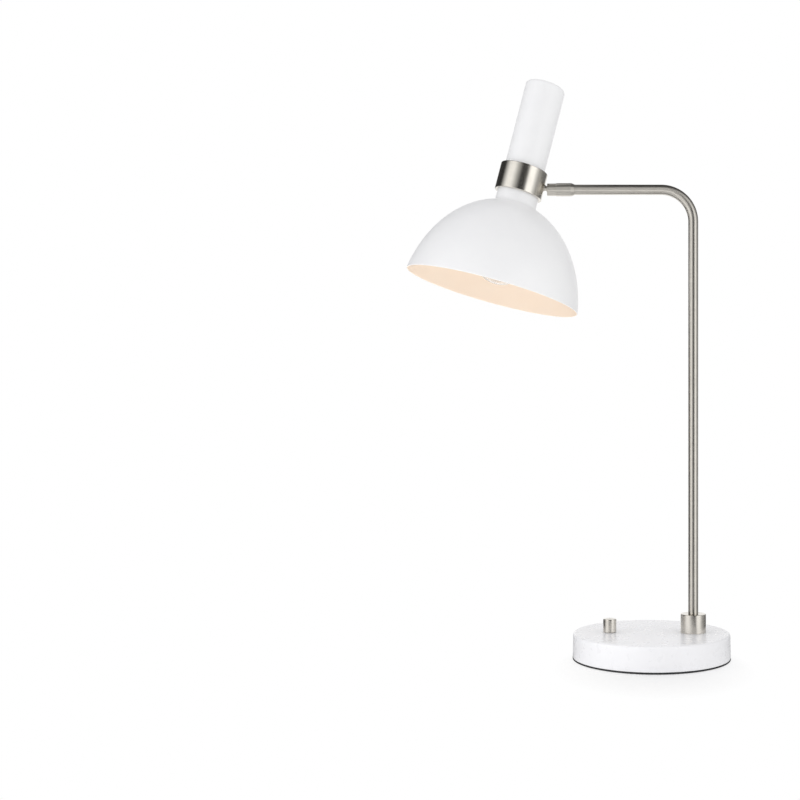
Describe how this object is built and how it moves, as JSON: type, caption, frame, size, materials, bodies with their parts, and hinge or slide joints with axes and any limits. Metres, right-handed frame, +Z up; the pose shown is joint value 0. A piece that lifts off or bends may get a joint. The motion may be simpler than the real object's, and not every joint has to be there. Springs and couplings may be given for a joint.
{
  "type": "desk lamp",
  "caption": "Desk lamp with a spun dome shade on a ball joint, a bent tube arm, a round weighted base and a dimmer knob.",
  "frame": {"origin": "centre of the base pad's underside, on the surface that the lamp stands on", "axes": "+Z up; the arm runs from the pole towards -X, so pole, arm and head lie in the XZ plane; +Y points to the rear, where the cord gland is"},
  "size_m": [0.3219, 0.1748, 0.5749],
  "materials": {
    "cover_paint": "white powder coat, satin",
    "shade_paint": "white powder coat outside, warm white inside",
    "nickel": "brushed nickel plate",
    "cast_weight": "raw casting",
    "pad": "matte",
    "steel": "zinc plated",
    "brass": "plain",
    "black_plastic": "moulded, matte",
    "white_plastic": "moulded, matte",
    "lead_sheath": "white sleeve",
    "bulb_glass": "clear"
  },
  "bodies": {
    "base": {"base_pad": "pad", "base_plate": "steel", "plate_screws": "steel", "base_weight": "cast_weight", "base_cover": "cover_paint", "cord_gland": "black_plastic", "gland_nut": "steel", "terminal_block": "white_plastic", "terminal_inserts": "brass", "terminal_screws": "steel", "block_screw": "steel", "earth_tag": "brass", "earth_screw": "steel", "dimmer_body": "black_plastic", "dimmer_lugs": "brass", "dimmer_bush": "brass", "dimmer_nut": "steel", "pole_ferrule": "nickel", "ferrule_grub_screw": "steel", "pole_washer": "steel", "pole_nut": "steel", "arm_tube": "nickel", "arm_plug": "brass", "pole_lead": "lead_sheath", "dimmer_lead": "lead_sheath", "earth_lead": "lead_sheath"},
    "knob": {"dimmer_shaft": "steel", "dimmer_knob": "nickel", "knob_grub_screw": "steel"},
    "sleeve": {"swivel_sleeve": "nickel", "sleeve_grub_screw": "steel", "swivel_nose": "nickel", "ball_seat": "white_plastic", "disc_springs": "steel"},
    "ball": {"ball_stud": "nickel", "stud_nut": "steel"},
    "head": {"collar": "nickel", "neck_tube": "shade_paint", "neck_grub_screws": "steel", "holder_plate": "steel", "holder_screws": "steel", "nipple": "steel", "nipple_nut": "steel", "lampholder": "white_plastic", "screw_shell": "brass", "centre_contact": "brass", "head_lead": "lead_sheath", "shade_ring": "white_plastic", "shade": "shade_paint", "bulb_glass": "bulb_glass", "bulb_cap": "brass", "bulb_insulator": "black_plastic", "bulb_tip": "brass", "bulb_stem": "bulb_glass", "bulb_filament": "steel"}
  },
  "joints": [
    {"name": "knob_turn", "type": "hinge", "parent": "base", "child": "knob", "pos_m": [-0.0416, 0, 0.0259], "axis": [0, 0, 1], "range_deg": [-300, 0]},
    {"name": "sleeve_turn", "type": "hinge", "parent": "base", "child": "sleeve", "pos_m": [-0.1003, 0, 0.4679], "axis": [1, 0, 0], "range_deg": [-170, 170]},
    {"name": "head_tilt", "type": "hinge", "parent": "sleeve", "child": "ball", "pos_m": [-0.1003, 0, 0.4679], "axis": [0, 1, 0], "range_deg": [-44, 15]},
    {"name": "head_spin", "type": "hinge", "parent": "ball", "child": "head", "pos_m": [-0.1003, 0, 0.4679], "axis": [-0.9681, 0, 0.2504], "range_deg": [-90, 90]}
  ]
}
